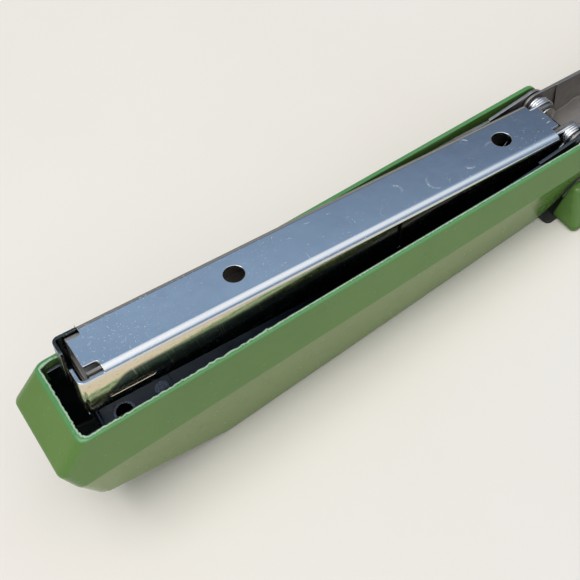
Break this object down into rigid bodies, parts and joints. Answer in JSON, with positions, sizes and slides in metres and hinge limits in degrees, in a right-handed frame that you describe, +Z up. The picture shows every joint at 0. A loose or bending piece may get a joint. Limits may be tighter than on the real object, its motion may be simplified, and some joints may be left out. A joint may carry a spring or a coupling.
{
  "type": "long reach stapler",
  "caption": "Long desk stapler opened flat: a flat base with a turning anvil, and a head of chromed staple magazine and deep moulded handle, hinged on two short pins.",
  "frame": {"origin": "on the surface that the base stands on, straight below the hinge pins, which is the middle of the opened stapler's length", "axes": "+X from the head's nose to the base's front, +Z up, +Y to the left of +X"},
  "size_m": [0.309, 0.0396, 0.0495],
  "materials": {
    "green_plastic": "glossy moulded leaf green, rim edges scuffed pale",
    "chrome_plate": "bright plated sheet steel with fine scratches",
    "frame_steel": "dull pressed steel with light staining",
    "inner_steel": "dark oiled steel",
    "rivet_steel": "turned bright steel",
    "spring_wire": "bright drawn spring wire",
    "staple_wire": "bright glued staple strip",
    "black_rubber": "matt black"
  },
  "bodies": {
    "base": {"base_shell": "green_plastic", "base_frame": "frame_steel", "base_plate": "frame_steel", "base_pad": "black_rubber", "base_rivets": "rivet_steel", "hinge_pins": "rivet_steel"},
    "anvil": {"anvil_plate": "chrome_plate", "anvil_stud": "rivet_steel", "anvil_spring": "spring_wire", "anvil_button": "frame_steel"},
    "magazine": {"magazine_channel": "chrome_plate", "staple_rail": "frame_steel", "magazine_bracket": "frame_steel", "magazine_rivets": "rivet_steel", "guide_rod": "rivet_steel", "rod_clip": "frame_steel", "rod_bridge": "frame_steel", "staple_strip": "staple_wire", "hinge_bushes": "rivet_steel", "handle_spring": "spring_wire", "pusher_spring": "spring_wire"},
    "pusher": {"pusher": "frame_steel"},
    "handle": {"handle_cover": "green_plastic", "handle_frame": "inner_steel", "driver_blade": "chrome_plate", "driver_bracket": "inner_steel", "driver_eyelet": "rivet_steel", "driver_rivets": "rivet_steel"}
  },
  "joints": [
    {"name": "head_swing", "type": "hinge", "parent": "base", "child": "magazine", "pos_m": [0, 0, 0.019], "axis": [0, 1, 0], "range_deg": [0, 169.2]},
    {"name": "handle_press", "type": "hinge", "parent": "magazine", "child": "handle", "pos_m": [0, 0, 0.019], "axis": [0, 1, 0], "range_deg": [0, 5], "stiffness_Nm_per_rad": 3, "springref_deg": -5.73},
    {"name": "pusher_slide", "type": "slide", "parent": "magazine", "child": "pusher", "axis": [0.9823, 0, -0.1874], "range_m": [0, 0.044], "stiffness_N_per_m": 40, "springref_m": -0.05, "deforming": ["pusher_spring"]},
    {"name": "anvil_turn", "type": "hinge", "parent": "base", "child": "anvil", "pos_m": [0.1367, 0, 0.0125], "axis": [0, 0, 1], "range_deg": [0, 180]}
  ]
}
